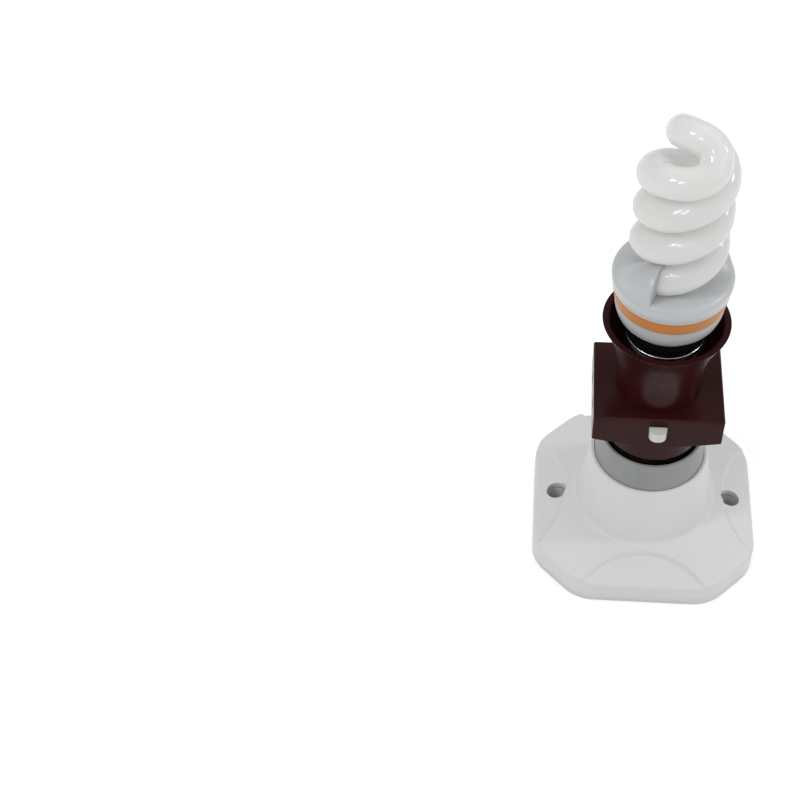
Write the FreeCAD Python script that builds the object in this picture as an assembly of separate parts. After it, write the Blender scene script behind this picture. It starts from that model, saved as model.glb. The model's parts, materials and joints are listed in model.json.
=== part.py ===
"""Square surface lamp holder with an outlet adapter and a spiral lamp.

The base is a white moulded cover around a grey socket barrel. A dark brown
adapter screws into the barrel: it carries two side outlets, a push-through
switch and a second screw socket in a flared cup. A spiral fluorescent lamp
screws into that cup. Millimetres, Z up, origin at the middle of the base's
underside, the front with the switch button towards -Y.
"""
import FreeCAD
import Part
import math
import os

V = FreeCAD.Vector

# Base plate
plate_half = 43.0
corner_cut = 17.5
corner_round = 16.0
plate_edge_z = 12.2
plate_top_z = 15.9
cover_wall = 2.2
edge_round = 0.7
# Lands, the lowered fields on the four sides
side_land_r = 39.0
side_land_apex = plate_half - 12.0
front_land_r = 28.0
front_land_apex = plate_half - 15.5
land_inner_z = 13.4
land_outer_z = 10.2
# Screw holes in the side lands
screw_hole_x = plate_half - 8.7
screw_head_r = 3.8
screw_hole_r = 2.3
screw_seat_z = 3.6
screw_post_r = 5.6
# Flared dome and collar
dome_foot_r = 26.9
collar_r = 21.0
collar_lip = 1.3
collar_z = 41.9
collar_round = 0.6
# Grey socket barrel
barrel_gap = 0.1
barrel_top_r = 19.4
barrel_top_z = 54.4
barrel_floor = 3.0
barrel_wall = 2.4
barrel_rim = 0.9
mouth_depth = 10.0
sleeve_drop_in = 2.0
barrel_sleeve = 2.2
barrel_flange_r = 23.0
barrel_flange_z = 7.2
barrel_flange_t = 2.6
ear_reach = 29.5
ear_r = 4.6
boss_pilot_r = 1.2
# Edison thread, plain in the solids
cap_r = 13.15
cap_wall = 0.35
cap_length = 17.0
cap_cone = 5.0
tip_r = 4.9
tip_drop = 2.8
thread_gap = 0.1
shell_wall = 0.4
shell_length = 15.6
shoulder_drop = 2.0
seat_gap = 0.2
fit_gap = 0.1
# Adapter block
block_half_x = 23.55
block_half_y = 18.45
block_top_z = 80.95
block_corner_z = 68.5
block_sag = 3.1
block_bevel = 1.0
block_round = 0.6
lid_t = 2.5
boss_r = 18.0
boss_step_r = 14.8
boss_step_h = 2.6
block_wall = 2.4
# Adapter neck and cup
neck_r = 15.8
cup_rim_r = 22.6
cup_rim_z = 113.9
cup_wall = 1.4
socket_floor_drop = 2.9
socket_shelf_z = 101.5
# Outlets
pin_pitch = 12.7
pin_slot_w = 2.4
pin_slot_h = 7.2
clip_gap = 1.6
clip_t = 0.5
clip_reach = 6.5
clip_w = 5.0
bus_t = 0.6
# Push switch
bar_w = 6.4
bar_h = 4.1
bar_top_z = 76.3
bar_out = 3.7
bar_travel = 3.4
bar_gap = 0.15
bridge_half = 6.0
bridge_w = 3.0
bridge_t = 0.6
contact_w = 2.2
contact_t = 0.8
# Lamp housing
cap_top_z = 108.5
shell_neck_r = 14.0
shell_neck_z = 114.5
shell_top_r = 19.2
ring_z = 126.1
ring_h = 5.4
ring_low_r = 19.3
ring_top_r = 20.3
lip_r = 17.9
cover_r = 20.9
cover_widest_z = 136.4
cover_flat_r = 18.7
cover_flat_z = 138.5
cover_top_z = 138.9
# Spiral tube
tube_r = 5.4
coil_r = 11.3
coil_pitch = 28.6
coil_x = 0.5
coil_top_z = 188.0
coil_sweep_deg = 567.0
front_end_deg = -42.0
back_end_deg = -30.0
tube_sink_deg = 8.0
sleeve_r = 6.7
sleeve_deg = 80.0
sleeve_drop = 9.0


def box(x0, x1, y0, y1, z0, z1):
    return Part.makeBox(x1 - x0, y1 - y0, z1 - z0, V(x0, y0, z0))


def post(r, z0, z1, x=0.0, y=0.0):
    return Part.makeCylinder(r, z1 - z0, V(x, y, z0))


def ring(r_out, r_in, z0, z1, x=0.0, y=0.0):
    return post(r_out, z0, z1, x, y).cut(post(r_in, z0 - 1, z1 + 1, x, y))


def turned(profile):
    """Solid of revolution about Z from (radius, height) points."""
    points = [V(r, 0, z) for r, z in profile]
    face = Part.Face(Part.makePolygon(points + points[:1]))
    return face.revolve(V(0, 0, 0), V(0, 0, 1), 360)


def turned_edges(edges):
    face = Part.Face(Part.Wire(edges))
    return face.revolve(V(0, 0, 0), V(0, 0, 1), 360)


def line(a, b):
    return Part.LineSegment(V(a[0], 0, a[1]), V(b[0], 0, b[1])).toShape()


def arc(a, b, c):
    points = [V(r, 0, z) for r, z in (a, b, c)]
    return Part.Arc(*points).toShape()


def curve(points):
    spline = Part.BSplineCurve()
    spline.interpolate([V(r, 0, z) for r, z in points])
    return spline.toShape()


def fillet(shape, radius, wanted):
    """Rounds the edges that the test picks; a radius too large for them is halved."""
    edges = [e for e in shape.Edges if wanted(e)]
    for share in (1, 2, 4):
        try:
            rounded = shape.makeFillet(radius / share, edges)
        except Part.OCCError:
            continue
        if rounded.isValid():
            return rounded
    return shape


def is_upright(edge, least):
    b = edge.BoundBox
    return b.ZLength > least and b.XLength < 1e-3 and b.YLength < 1e-3


# Base cover

def plate_outline(inset):
    """Chamfered square with rounded corners, moved in by the inset."""
    h = plate_half - inset
    c = corner_cut - inset * (2 - math.sqrt(2))
    k = h - c
    points = [V(h, -k, 0), V(h, k, 0), V(k, h, 0), V(-k, h, 0)]
    points += [V(-h, k, 0), V(-h, -k, 0), V(-k, -h, 0), V(k, -h, 0)]
    return Part.makePolygon(points + points[:1])


def plate_prism(inset, height):
    solid = Part.Face(plate_outline(inset)).extrude(V(0, 0, height))
    r = max(corner_round - inset, 1.0)
    return fillet(solid, r, lambda e: abs(e.BoundBox.ZLength - height) < 1e-6)


def land_cutter(radius, apex, drop):
    """Space above a land: a tall cylinder's part above a plane that falls outwards."""
    slope = (land_inner_z - land_outer_z) / (plate_half - front_land_apex)
    reach = 2 * plate_half
    z_in = land_inner_z - drop
    profile = [V(apex - drop, 0, z_in), V(apex + reach, 0, z_in - slope * (reach + drop))]
    profile += [V(apex + reach, 0, reach), V(apex - drop, 0, reach)]
    wedge = Part.Face(Part.makePolygon(profile + profile[:1])).extrude(V(0, 4 * plate_half, 0))
    wedge.translate(V(0, -2 * plate_half, 0))
    tall = post(radius + drop, 0, reach, apex + radius, 0)
    return tall.common(wedge)


def plate_body(drop):
    """The raised plate, or with a drop the hollow inside it."""
    corner = plate_half * math.sqrt(2) - corner_cut / math.sqrt(2)
    fall = (plate_top_z - plate_edge_z) / (corner - dome_foot_r)
    far = 2 * plate_half
    far_z = plate_top_z - fall * (far - dome_foot_r) - drop
    top = turned([(0, 0), (0, plate_top_z - drop), (dome_foot_r, plate_top_z - drop),
                  (far, far_z), (far, 0)])
    body = plate_prism(drop, plate_top_z + 1).common(top)
    for turn, radius, apex in ((0, side_land_r, side_land_apex), (180, side_land_r, side_land_apex),
                               (90, front_land_r, front_land_apex),
                               (270, front_land_r, front_land_apex)):
        cutter = land_cutter(radius, apex, drop)
        body = body.cut(cutter.rotated(V(0, 0, 0), V(0, 0, 1), turn))
    return body


def base_cover():
    outer = plate_body(0.0)
    outer = fillet(outer, edge_round, lambda e: is_rim_edge(e) or is_land_top(e))
    lip_r = collar_r + collar_lip
    dome = turned([(0, 0), (0, collar_z), (lip_r, collar_z), (dome_foot_r, plate_top_z),
                   (dome_foot_r, 0)])
    dome = fillet(dome, collar_round, lambda e: at_height(e, collar_z))
    inner = plate_body(cover_wall)
    inner_foot = dome_foot_r - cover_wall
    hollow = turned([(0, 0), (0, collar_z + 1), (collar_r, collar_z + 1), (collar_r, collar_z - 3),
                     (inner_foot, plate_top_z - cover_wall), (inner_foot, 0)])
    cover = outer.fuse(dome).cut(inner).cut(hollow)
    for side in (-1, 1):
        x = side * screw_hole_x
        tower = post(screw_post_r, 0, land_inner_z - 1, x, 0)
        tower = tower.common(plate_body(0.0))
        cover = cover.fuse(tower)
        cover = cover.cut(post(screw_hole_r, -1, plate_top_z, x, 0))
        cover = cover.cut(post(screw_head_r, screw_seat_z, plate_top_z + 5, x, 0))
    for x, y in ear_centres():
        boss = post(ear_r - 1.2, barrel_flange_z + barrel_flange_t, plate_top_z - 1, x, y)
        boss = boss.common(plate_body(cover_wall / 2))
        cover = cover.fuse(boss)
        cover = cover.cut(post(boss_pilot_r, 0, plate_top_z - cover_wall - 0.4, x, y))
    return cover.removeSplitter()


def at_height(edge, z):
    b = edge.BoundBox
    return abs(b.ZMin - z) < 1e-4 and abs(b.ZMax - z) < 1e-4


def is_rim_edge(edge):
    """Edges between the plate's top and its outer walls."""
    b = edge.BoundBox
    if b.ZMax < land_outer_z - 1 or b.ZMin < 1:
        return False
    mid = edge.valueAt((edge.FirstParameter + edge.LastParameter) / 2)
    if b.ZLength > 3 and b.XLength < 1e-3 and b.YLength < 1e-3:
        return False
    x, y = abs(mid.x), abs(mid.y)
    to_side = plate_half - max(x, y)
    to_corner = (2 * plate_half - corner_cut - x - y) / math.sqrt(2)
    return min(to_side, to_corner) < 0.3 or (to_side < corner_round / 3 and to_corner < corner_round / 10)


def is_land_top(edge):
    """Upper edges of the curved steps beside the lands."""
    mid = edge.valueAt((edge.FirstParameter + edge.LastParameter) / 2)
    b = edge.BoundBox
    if math.hypot(mid.x, mid.y) < dome_foot_r + 0.5 or b.ZMax < land_inner_z + 0.1:
        return False
    return b.ZMin > plate_edge_z - 0.5 and b.ZLength > 2 and b.XLength > 1


def ear_centres():
    k = ear_reach / math.sqrt(2)
    return [(k, k), (-k, -k)]


# Socket barrel and what it holds

boss_seat_z = barrel_top_z + seat_gap
lower_cap_top = boss_seat_z - fit_gap
lower_cap_bottom = lower_cap_top - cap_length
lower_cone_bottom = lower_cap_bottom - cap_cone
lower_tip_z = lower_cone_bottom - tip_drop
base_contact_z = lower_tip_z - seat_gap
barrel_floor_z = base_contact_z - 4.4
barrel_bore_r = cap_r + thread_gap + shell_wall
barrel_shoulder_z = lower_cap_bottom - shoulder_drop
pocket_r = barrel_bore_r - 2.0


def socket_barrel():
    under = barrel_floor_z - barrel_floor
    tall_r = collar_r - barrel_gap
    sleeve_r_out = barrel_bore_r + fit_gap + barrel_sleeve
    body = turned([(0, barrel_flange_z), (barrel_flange_r, barrel_flange_z),
                   (barrel_flange_r, barrel_flange_z + barrel_flange_t),
                   (tall_r, barrel_flange_z + barrel_flange_t), (tall_r, collar_z),
                   (barrel_top_r, barrel_top_z), (0, barrel_top_z)])
    body = fillet(body, 0.4, lambda e: at_height(e, barrel_top_z))
    groove_top = barrel_top_z - mouth_depth - barrel_wall
    body = body.cut(ring(tall_r - barrel_wall, sleeve_r_out, 0, groove_top))
    rim_in = barrel_top_r - barrel_rim
    sleeve_top = barrel_top_z - sleeve_drop_in
    body = body.cut(ring(rim_in, sleeve_r_out, barrel_top_z - mouth_depth, barrel_top_z + 1))
    body = body.cut(post(rim_in, sleeve_top, barrel_top_z + 1))
    body = body.cut(post(sleeve_r_out - 1.8, 0, under))
    bore = barrel_bore_r + fit_gap
    body = body.cut(post(bore, barrel_shoulder_z, barrel_top_z + 1))
    body = body.cut(post(pocket_r, barrel_floor_z, barrel_top_z))
    mouth = turned([(0, sleeve_top - 1), (bore, sleeve_top - 1), (bore + 1, sleeve_top),
                    (0, sleeve_top)])
    body = body.cut(mouth)
    for x, y in ear_centres():
        ear = post(ear_r, barrel_flange_z, barrel_flange_z + barrel_flange_t, x, y)
        arm = box(0, ear_reach, -ear_r, ear_r, barrel_flange_z, barrel_flange_z + barrel_flange_t)
        arm = arm.rotated(V(0, 0, 0), V(0, 0, 1), math.degrees(math.atan2(y, x)))
        arm = arm.cut(post(barrel_flange_r - 1, 0, plate_top_z))
        body = body.fuse(ear).fuse(arm)
        body = body.cut(post(1.7, 0, plate_top_z, x, y))
    for side in (-1, 1):
        body = body.cut(slot_for_leg(side * terminal_x))
    body = body.cut(box(pocket_r - 1, lug_end_x + fit_gap, -leg_w / 2 - fit_gap, leg_w / 2 + fit_gap,
                        barrel_shoulder_z - leg_t - fit_gap, barrel_shoulder_z))
    return body.removeSplitter()


terminal_x = 10.9
terminal_w = 5.2
terminal_h = 8.0
leg_w = 3.2
leg_t = 0.8
lug_end_x = 13.0


def slot_for_leg(x):
    g = fit_gap
    return box(x - leg_t / 2 - g, x + leg_t / 2 + g, -leg_w / 2 - g, leg_w / 2 + g,
               barrel_floor_z - barrel_floor - 1, barrel_floor_z + 1)


def base_screw_shell():
    z = barrel_shoulder_z
    tube = ring(barrel_bore_r, barrel_bore_r - shell_wall, z, z + shell_length)
    foot = ring(barrel_bore_r, pocket_r + 0.6, z, z + shell_wall)
    return tube.fuse(foot).removeSplitter()


def base_centre_contact():
    """Springy strip that rises from its leg to meet the cap's tip."""
    z0 = barrel_floor_z
    z1 = base_contact_z
    t = 0.5
    x0 = -terminal_x - leg_t / 2
    points = [V(x0, 0, z0), V(-3, 0, z0), V(0.5, 0, z1 - t), V(4.5, 0, z1 - t),
              V(4.5, 0, z1), V(0, 0, z1), V(-3.5, 0, z0 + t), V(x0, 0, z0 + t)]
    strip = Part.Face(Part.makePolygon(points + points[:1])).extrude(V(0, leg_w, 0))
    strip.translate(V(0, -leg_w / 2, 0))
    leg = box(x0, x0 + leg_t, -leg_w / 2, leg_w / 2, z0 - barrel_floor - 4, z0)
    return strip.fuse(leg).removeSplitter()


def base_side_strap():
    """Strap that joins the screw shell to its terminal."""
    z0 = barrel_floor_z
    x0 = terminal_x - leg_t / 2
    top = barrel_shoulder_z
    leg = box(x0, x0 + leg_t, -leg_w / 2, leg_w / 2, z0 - barrel_floor - 4, top)
    lug = box(x0, lug_end_x, -leg_w / 2, leg_w / 2, top - leg_t, top)
    return leg.fuse(lug).removeSplitter()


def base_terminal(side):
    """Brass block with a wire hole, hung on its leg under the floor."""
    top = barrel_floor_z - barrel_floor
    x = side * terminal_x
    half = terminal_w / 2
    block = box(x - half, x + half, -half, half, top - terminal_h, top)
    block = block.cut(slot_for_leg(x))
    block = block.cut(box(x - leg_t / 2 - fit_gap, x + leg_t / 2 + fit_gap, -leg_w / 2 - fit_gap,
                          leg_w / 2 + fit_gap, top - 4.2, top + 1))
    wire = Part.makeCylinder(1.5, 4 * half, V(x, -2 * half, top - terminal_h / 2 - 1.5), V(0, 1, 0))
    block = block.cut(wire)
    return block.cut(post(1.5, top - terminal_h - 1, top - terminal_h / 2 - 1.5, x, 0))


def slotted_screw(x, y, head_r, head_z0, head_z1, shank_r, shank_top):
    """Screw that points up, its slotted head below."""
    screw = post(head_r, head_z0, head_z1, x, y).fuse(post(shank_r, head_z1, shank_top, x, y))
    slot = box(x - head_r, x + head_r, y - 0.35, y + 0.35, head_z0 - 1, head_z0 + 0.7)
    return screw.cut(slot).removeSplitter()


def terminal_screws():
    bottom = barrel_floor_z - barrel_floor - terminal_h
    return Part.makeCompound([slotted_screw(s * terminal_x, 0, 2.3, bottom - 1.8, bottom, 1.4, bottom + 2)
                              for s in (-1, 1)])


def barrel_screws():
    z = barrel_flange_z
    return Part.makeCompound([slotted_screw(x, y, 2.8, z - 1.8, z, boss_pilot_r - 0.05, z + 5.4)
                              for x, y in ear_centres()])


# Screw caps, the same form on the adapter and on the lamp

def screw_cap(top_z):
    """Thin metal cup that holds the thread, open at the top."""
    bottom = top_z - cap_length
    return turned([(cap_r - cap_wall, top_z), (cap_r, top_z), (cap_r, bottom),
                   (cap_r - 1.2, bottom - 0.6), (cap_r - 1.2 - cap_wall, bottom - 0.6 + cap_wall),
                   (cap_r - cap_wall, bottom + cap_wall / 2)])


def cap_insulator(top_z):
    """Black glassy cone that closes the cap and carries the tip."""
    z = top_z - cap_length
    low = z - cap_cone
    return turned([(1.1, z - 0.2), (cap_r - 1.7, z - 0.2), (cap_r - 1.7, z - 0.7), (tip_r + 0.5, low),
                   (1.1, low)])


def tip_contact(top_z):
    """Rivet with a low domed head."""
    low = top_z - cap_length - cap_cone
    r = tip_r
    head = turned([(0, low), (r, low), (r, low - tip_drop * 0.55), (r * 0.6, low - tip_drop),
                   (0, low - tip_drop)])
    return head.fuse(post(1.0, low, top_z - cap_length + 1, 0, 0)).removeSplitter()


# Adapter

seam_z = block_top_z - lid_t
bar_z0 = bar_top_z - bar_h
pin_z = (seam_z + block_corner_z) / 2 + 0.3
floor_z = block_corner_z + 0.6
fixing_post_r = 3.1
fixing_head_r = 2.5
fixing_shank_r = 1.15
fixing_head_h = 1.5
fixing_boss_h = 4.0
fixing_seat_z = block_corner_z + 0.2


def block_prism(z0, z1):
    return box(-block_half_x, block_half_x, -block_half_y, block_half_y, z0, z1)


def underside(extra):
    """Solid above the block's shallow conical underside, with the round boss."""
    corner = math.hypot(block_half_x, block_half_y)
    rise = block_sag / (corner - block_half_y)
    boss_cone_z = block_corner_z - rise * (corner - boss_r)
    far = 2 * block_half_x
    far_z = block_corner_z + rise * (far - corner)
    step_z = boss_seat_z + boss_step_h
    return turned([(0, boss_seat_z), (boss_step_r, boss_seat_z), (boss_step_r, step_z), (boss_r, step_z),
                   (boss_r, boss_cone_z), (far, far_z), (far, extra), (0, extra)])


def outlet_slots(side):
    """Two upright pin slots through one end wall."""
    inner = block_half_x - block_wall - 1
    slots = []
    for y in (-pin_pitch / 2, pin_pitch / 2):
        x0, x1 = sorted((side * inner, side * (block_half_x + 1)))
        slots.append(box(x0, x1, y - pin_slot_w / 2, y + pin_slot_w / 2, pin_z - pin_slot_h / 2,
                         pin_z + pin_slot_h / 2))
    return slots[0].fuse(slots[1])


def bar_channel(grow):
    half = bar_w / 2 + grow
    return box(-half, half, -2 * block_half_y, 2 * block_half_y, bar_z0 - grow, bar_top_z + grow)


def adapter_body():
    body = block_prism(boss_seat_z, seam_z).common(underside(seam_z + 1))
    body = fillet(body, block_round,
                  lambda e: is_upright(e, 5) and abs(abs(e.BoundBox.XMin) - block_half_x) < 1e-3)
    w = block_wall
    room_x = block_half_x - w
    room_y = block_half_y - w
    for side in (-1, 1):
        x0, x1 = sorted((side * (bridge_half + contact_w + 1.6), side * room_x))
        body = body.cut(box(x0, x1, -room_y, room_y, floor_z, seam_z + 1))
        body = body.cut(outlet_slots(side))
    centre = bridge_half + contact_w + 1.7
    reach = bridge_w / 2 + bar_travel + 1.0
    body = body.cut(box(-centre, centre, -reach + 1.5, reach, floor_z, seam_z + 1))
    for y in (-pin_pitch / 2, pin_pitch / 2):
        lane = clip_w / 2 + 0.3
        body = body.cut(box(-centre, centre, y - lane, y + lane, floor_z, floor_z + bus_t + 0.5))
    body = body.cut(bar_channel(bar_gap))
    plug = post(cap_r - cap_wall - fit_gap, boss_seat_z - 9, boss_seat_z)
    body = body.fuse(plug)
    body = body.cut(post(1.4, boss_seat_z - 10, floor_z + 1))
    leg_x = cap_leg_x()
    body = body.cut(box(leg_x - 0.6, leg_x + 0.6, -pin_pitch / 2 - 1.7, -pin_pitch / 2 + 1.7,
                        boss_seat_z - 1, floor_z + 1))
    for x, y in fixing_screws():
        pillar = post(fixing_post_r, block_corner_z, seam_z - fixing_boss_h, x, y)
        body = body.fuse(pillar.common(block_prism(0, seam_z)))
        body = body.cut(post(fixing_shank_r + 0.25, boss_seat_z, seam_z, x, y))
        body = body.cut(post(fixing_head_r + 0.2, boss_seat_z, fixing_seat_z, x, y))
    return body.removeSplitter()


def cap_leg_x():
    """Where the neutral strip's leg meets the edge of the male cap."""
    r = cap_r - cap_wall / 2
    y = pin_pitch / 2
    return math.sqrt(r * r - y * y)


def fixing_screws():
    """The two screws stand at opposite corners, clear of the clips."""
    x = block_half_x - block_wall - fixing_post_r + 0.6
    y = block_half_y - block_wall - fixing_post_r + 0.6
    return [(x, y), (-x, -y)]


def between(low, high, shares):
    """Points that go from low to high by the given shares of width and height."""
    return [(low[0] + a * (high[0] - low[0]), low[1] + b * (high[1] - low[1])) for a, b in shares]


def cup_outer():
    shares = [(0, 0), (0.05, 0.155), (0.2, 0.308), (0.48, 0.482), (0.74, 0.662), (0.92, 0.836),
              (1, 1)]
    return between((neck_r, block_top_z + 3.0), (cup_rim_r, cup_rim_z), shares)


def adapter_cup():
    """Lid plate, neck and flared cup in one moulding."""
    lid = block_prism(seam_z, block_top_z)
    sides = [e for e in lid.Edges if at_height(e, block_top_z)]
    lid = lid.makeChamfer(block_bevel, [e for e in sides if e.BoundBox.XLength < 1e-3])
    lid = fillet(lid, block_round, lambda e: is_upright(e, 1))
    lid = fillet(lid, 0.3, lambda e: at_height(e, block_top_z) and e.BoundBox.YLength < 1e-3)
    outer = cup_outer()
    top = cup_rim_z
    edges = [line((0, seam_z), (neck_r, seam_z)), line((neck_r, seam_z), outer[0]), curve(outer), line((cup_rim_r, top), (0, top)), line((0, top), (0, seam_z))]
    bell = turned_edges(edges)
    bell = fillet(bell, 0.5, lambda e: at_height(e, top))
    shelf = socket_shelf_z
    bore = barrel_bore_r + fit_gap
    rim_in = cup_rim_r - cup_wall
    pocket = turned([(0, socket_floor_z), (pocket_r, socket_floor_z), (pocket_r, upper_shoulder_z),
                     (bore, upper_shoulder_z), (bore, shelf)]
                    + between((bore, shelf), (rim_in, top),
                              [(0.43, 0.05), (0.77, 0.31), (0.92, 0.6), (1, 1.001)])
                    + [(rim_in, top + 1), (0, top + 1)])
    cup = lid.fuse(bell).cut(pocket)
    leg = pin_pitch / 2
    shell_leg = box(riser_x() - 0.6, riser_x() + 0.6, -leg - 1.7, -leg + 1.7, seam_z - 1,
                    upper_shoulder_z + 0.01)
    cup = cup.cut(shell_leg)
    cup = cup.cut(box(live_leg_x - leg_t, live_leg_x + leg_t, -1.7, 1.7, seam_z - 1,
                      socket_floor_z + 1))
    for x, y in fixing_screws():
        boss = post(fixing_post_r - 0.75, seam_z - fixing_boss_h, seam_z, x, y)
        cup = cup.fuse(boss)
        cup = cup.cut(post(fixing_shank_r + 0.05, 0, seam_z + 0.8, x, y))
    return cup.removeSplitter()


upper_cap_bottom = cap_top_z - cap_length
upper_tip_z = upper_cap_bottom - cap_cone - tip_drop
upper_shoulder_z = upper_cap_bottom - shoulder_drop
socket_floor_z = upper_tip_z - seat_gap - socket_floor_drop
live_leg_x = bridge_half - contact_w / 2


def riser_x():
    """Where the neutral strip's riser meets the upper shell's foot."""
    r = barrel_bore_r - 1.0
    y = pin_pitch / 2
    return math.sqrt(r * r - y * y)


def adapter_socket_shell():
    z = upper_shoulder_z
    tube = ring(barrel_bore_r, barrel_bore_r - shell_wall, z, socket_shelf_z)
    return tube.fuse(ring(barrel_bore_r, pocket_r + 0.6, z, z + shell_wall)).removeSplitter()


def adapter_centre_contact():
    """Bent strip: a leg from the switch, and a springy tongue under the lamp's tip."""
    z0 = socket_floor_z
    z1 = upper_tip_z - seat_gap
    t = 0.5
    x0 = live_leg_x + leg_t / 2
    points = [V(x0, 0, z0), V(3.0, 0, z0), V(1.0, 0, z1 - t), V(-4.0, 0, z1 - t), V(-4.0, 0, z1),
              V(1.4, 0, z1), V(3.4, 0, z0 + t), V(x0, 0, z0 + t)]
    strip = Part.Face(Part.makePolygon(points + points[:1])).extrude(V(0, 3.0, 0))
    strip.translate(V(0, -1.5, 0))
    leg = box(x0 - leg_t, x0, -1.5, 1.5, seam_z + 0.3, z0)
    return strip.fuse(leg).removeSplitter()


def bus(side):
    """Contact strip along the block's floor with a spring fork at each end."""
    y = side * pin_pitch / 2
    z = floor_z
    end = block_half_x - block_wall - 0.6
    strip = box(-end, end, y - clip_w / 2, y + clip_w / 2, z, z + bus_t)
    fork_top = pin_z + pin_slot_h / 2
    for x_side in (-1, 1):
        x0, x1 = sorted((x_side * (end - clip_reach), x_side * end))
        for leaf in (-1, 1):
            inner = leaf * clip_gap / 2
            outer = leaf * (clip_gap / 2 + clip_t)
            y0, y1 = sorted((y + inner, y + outer))
            strip = strip.fuse(box(x0, x1, y0, y1, z, fork_top))
    if side < 0:
        x = cap_leg_x()
        strip = strip.fuse(box(x - 0.4, x + 0.4, y - 1.5, y + 1.5, boss_seat_z + 0.1, z))
        x = riser_x()
        strip = strip.fuse(box(x - 0.4, x + 0.4, y - 1.5, y + 1.5, z, upper_shoulder_z - 0.05))
    return strip.removeSplitter()


def switch_contact(side):
    """Fixed contact post that the bridge slides over."""
    x = side * live_leg_x
    top = bar_z0 + 0.9 - bar_gap
    foot = box(x - contact_w / 2, x + contact_w / 2, -1.5, 1.5, floor_z, floor_z + contact_t)
    blade = box(x - contact_w / 2, x + contact_w / 2, -contact_t / 2, contact_t / 2, floor_z, top)
    return foot.fuse(blade).removeSplitter()


def switch_bar():
    """White push bar that passes right through the block."""
    back = block_half_y + 0.3
    front = -block_half_y - bar_out
    half = bar_w / 2
    bar = box(-half, half, front, back, bar_z0, bar_top_z)
    bar = fillet(bar, half - 0.35, lambda e: is_upright(e, 1) and e.BoundBox.YMax < front + 0.1)
    bar = fillet(bar, 0.5, lambda e: e.BoundBox.YMin < -block_half_y - 1 and
                 (at_height(e, bar_z0) or at_height(e, bar_top_z)) and e.BoundBox.YMax < 0)
    notch = box(-half - 1, half + 1, -bridge_w / 2 - 0.05, bridge_w / 2 + 0.05, bar_z0 - 1,
                bar_z0 + 0.9 + bridge_t)
    return bar.cut(notch)


def switch_bridge():
    z = bar_z0 + 0.9
    return box(-bridge_half, bridge_half, -bridge_w / 2, bridge_w / 2, z, z + bridge_t)


def adapter_screws():
    """Screws up through the block into the lid's bosses, heads sunk in the underside."""
    z = fixing_seat_z
    return Part.makeCompound([slotted_screw(x, y, fixing_head_r, z - fixing_head_h, z,
                                            fixing_shank_r, seam_z + 0.5)
                              for x, y in fixing_screws()])


# Lamp

def shell_side():
    """The bowl's outline, from the straight neck out to the trim ring."""
    shares = [(0, 0), (0.19, 0.15), (0.58, 0.31), (0.85, 0.55), (0.96, 0.79), (1, 1)]
    return between((shell_neck_r, shell_neck_z), (shell_top_r, ring_z - fit_gap), shares)


def lamp_shell():
    """Lower half of the lamp's housing, with a spigot down inside the cap."""
    spigot = cap_r - cap_wall - fit_gap
    low = cap_top_z + fit_gap
    lip = lip_r
    edges = [line((0, low - 10), (spigot, low - 10)), line((spigot, low - 10), (spigot, low)),
             line((spigot, low), (shell_neck_r, low)),
             line((shell_neck_r, low), (shell_neck_r, shell_neck_z)), curve(shell_side()),
             line((shell_top_r, ring_z - fit_gap), (lip, ring_z - fit_gap)),
             line((lip, ring_z - fit_gap), (lip, ring_z + ring_h / 2)),
             line((lip, ring_z + ring_h / 2), (0, ring_z + ring_h / 2)),
             line((0, ring_z + ring_h / 2), (0, low - 10))]
    body = turned_edges(edges)
    return body.cut(post(1.4, low - 11, low - 2))


def lamp_trim_ring():
    z1 = ring_z + ring_h
    inner = lip_r + fit_gap
    band = turned([(inner, ring_z), (ring_low_r, ring_z), (ring_top_r, z1), (inner, z1)])
    return fillet(band, 0.3, lambda e: e.BoundBox.XLength > 2 * ring_low_r - 0.1)


def lamp_cover():
    """Upper half of the housing, with a raised sleeve for each end of the tube."""
    low = ring_z + ring_h + fit_gap
    inner = ring_z + ring_h / 2 + fit_gap
    top = cover_top_z
    widest, flat = (cover_r, cover_widest_z), (cover_flat_r, cover_flat_z)
    turn = ((cover_r + 3 * cover_flat_r) / 4 + 1.05, (cover_widest_z + 3 * cover_flat_z) / 4 - 0.15)
    edges = [line((0, inner), (lip_r, inner)), line((lip_r, inner), (lip_r, low)),
             line((lip_r, low), (ring_top_r, low)), line((ring_top_r, low), widest),
             arc(widest, turn, flat), line(flat, (0, top)), line((0, top), (0, inner))]
    body = turned_edges(edges)
    sleeve = tube_sleeve()
    trim = post(cover_r - 0.6, low, 3 * top).fuse(post(lip_r, inner, low))
    for piece in (sleeve, half_turn_about_coil(sleeve)):
        body = body.fuse(piece.common(trim))
    pocket = tube_pocket()
    return body.cut(pocket).cut(half_turn_about_coil(pocket)).removeSplitter()


def half_turn_about_coil(shape):
    return shape.rotated(V(coil_x, 0, 0), V(0, 0, 1), 180)


def coil_point(angle_deg, drop=0.0):
    """Point on strand A's helix: angle 0 is straight in front, and it falls backwards."""
    a = math.radians(angle_deg)
    z = coil_top_z + coil_pitch * angle_deg / 360.0 - drop
    return V(coil_x + coil_r * math.sin(a), -coil_r * math.cos(a), z)


def crown_line():
    """The bridge from strand A's front end to strand B's back end, across the top."""
    places = [(0.0, -1.0, -1.5), (0.57, -0.8, 1.4), (0.58, -0.32, 5.9), (-0.15, 0.24, 7.1),
              (-0.16, 0.83, 2.5)]
    return [V(coil_x + coil_r * a, coil_r * b, coil_top_z + rise) for a, b, rise in places]


def swept(points, radius):
    path = Part.BSplineCurve()
    path.interpolate(points)
    start = path.value(path.FirstParameter)
    along = path.tangent(path.FirstParameter)[0]
    section = Part.Wire(Part.makeCircle(radius, start, along))
    return Part.Wire(path.toShape()).makePipeShell([section], True, False)


def strand_line(first_deg, last_deg, step=27.0):
    count = int(round((last_deg - first_deg) / step))
    return [coil_point(first_deg + i * (last_deg - first_deg) / count) for i in range(count + 1)]


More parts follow.
